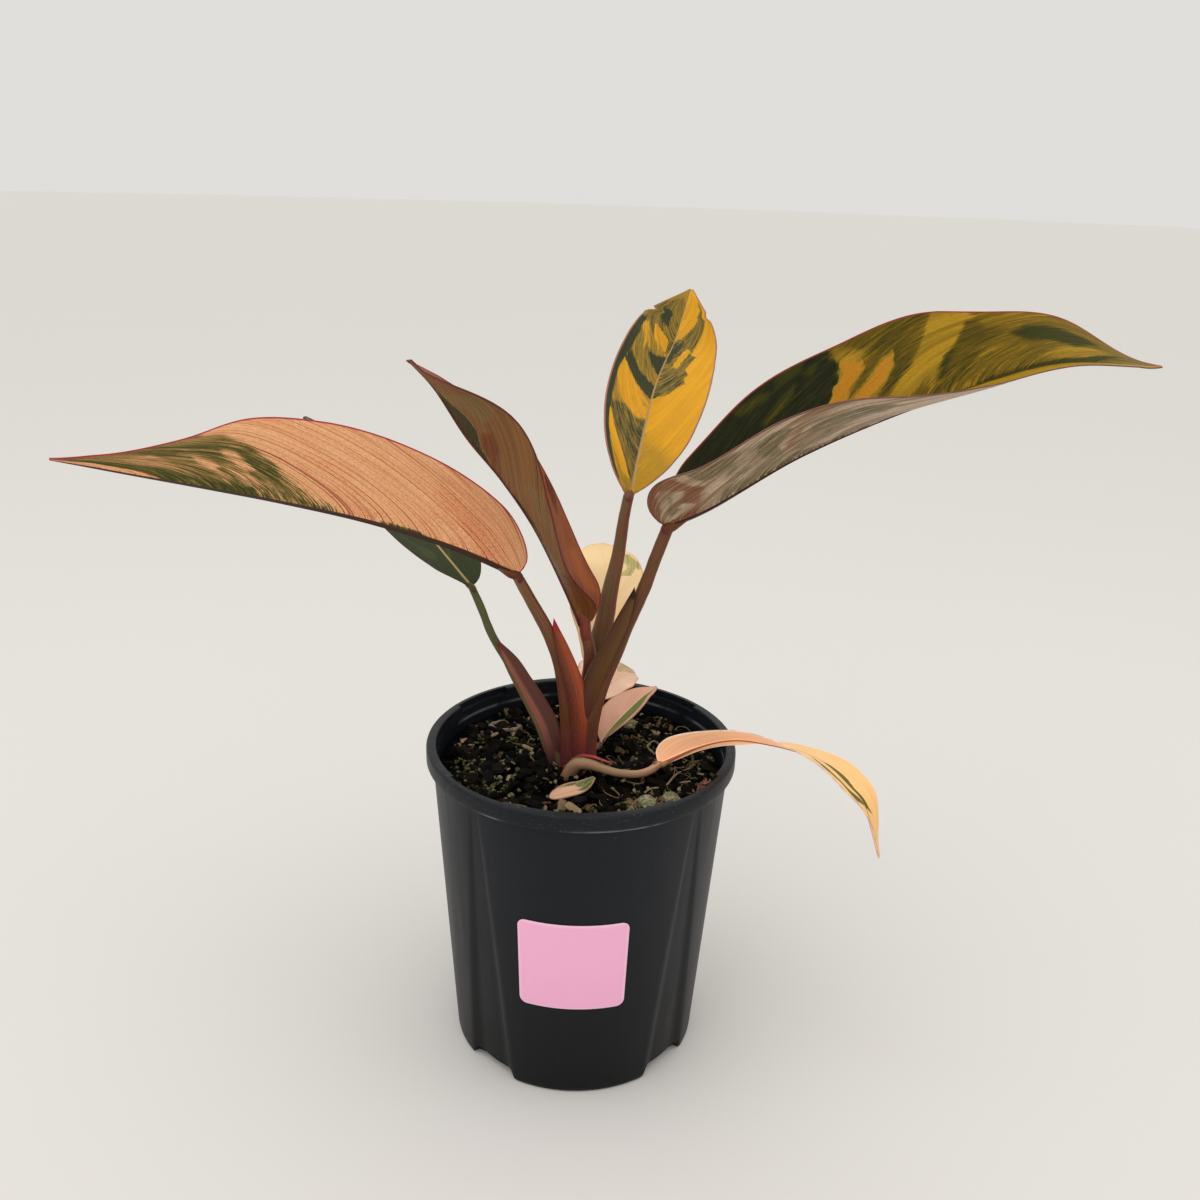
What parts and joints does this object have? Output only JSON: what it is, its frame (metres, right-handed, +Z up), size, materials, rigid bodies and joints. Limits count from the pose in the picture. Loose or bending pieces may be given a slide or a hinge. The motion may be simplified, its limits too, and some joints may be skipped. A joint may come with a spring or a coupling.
{
  "type": "potted variegated philodendron",
  "caption": "Young variegated philodendron with long folded leaves on sheathed stalks, in a tapered black nursery pot with a blank pink sticker.",
  "frame": {"origin": "middle of the pot's flat underside", "axes": "+Z up, front of the pot with the sticker faces -Y, the two long leaves lie along X"},
  "size_m": [0.4632, 0.1625, 0.3432],
  "materials": {
    "pot_plastic": "semi-gloss moulded black plastic with faint vertical streaks and scuffs",
    "sticker_paper": "smooth pink paper sticker, blank",
    "potting_mix": "damp dark bark mix with green and tan chips",
    "crown": "purple-red stem with dry papery sheath remains",
    "stalk_red": "waxy red-brown stalk, finely streaked",
    "stalk_dark": "waxy dark purple-brown stalk, finely streaked",
    "stalk_olive": "waxy olive stalk, finely streaked",
    "leaf_salmon": "satin salmon leaf with fine veins and green streaks",
    "leaf_green_gold": "glossy leaf, dark green with gold stripes",
    "leaf_gold": "glossy golden leaf with dark green patches",
    "leaf_brown": "satin olive-brown young leaf with fine veins",
    "leaf_dark_green": "glossy dark green leaf with a tan midrib",
    "leaf_cream": "satin cream to pink leaf with green patches",
    "bark": "rough weathered bark",
    "pale_lump": "rough pale mineral lump with algae",
    "root": "thin dry root"
  },
  "bodies": {
    "root": {"pot": "pot_plastic", "label": "sticker_paper", "potting_mix": "potting_mix", "crown": "crown", "stalk_left": "stalk_red", "blade_left": "leaf_salmon", "stalk_right": "stalk_dark", "blade_right": "leaf_green_gold", "stalk_upright": "stalk_olive", "blade_upright": "leaf_gold", "stalk_rolled": "stalk_dark", "blade_rolled": "leaf_brown", "stalk_lower_left": "stalk_olive", "blade_lower_left": "leaf_dark_green", "stalk_drooping": "stalk_olive", "blade_drooping": "leaf_salmon", "stalk_back": "stalk_olive", "blade_back": "leaf_cream", "stalk_low_right": "stalk_red", "blade_low_right": "leaf_cream", "stalk_low_back": "stalk_olive", "blade_low_back": "leaf_cream", "leaf_scrap": "leaf_cream", "bark_ring": "bark", "bark_chip": "bark", "pale_lump_back": "pale_lump", "pale_lump_front": "pale_lump", "pale_lump_side": "pale_lump", "husk": "bark", "root_long": "root", "root_curl": "root"}
  },
  "joints": []
}
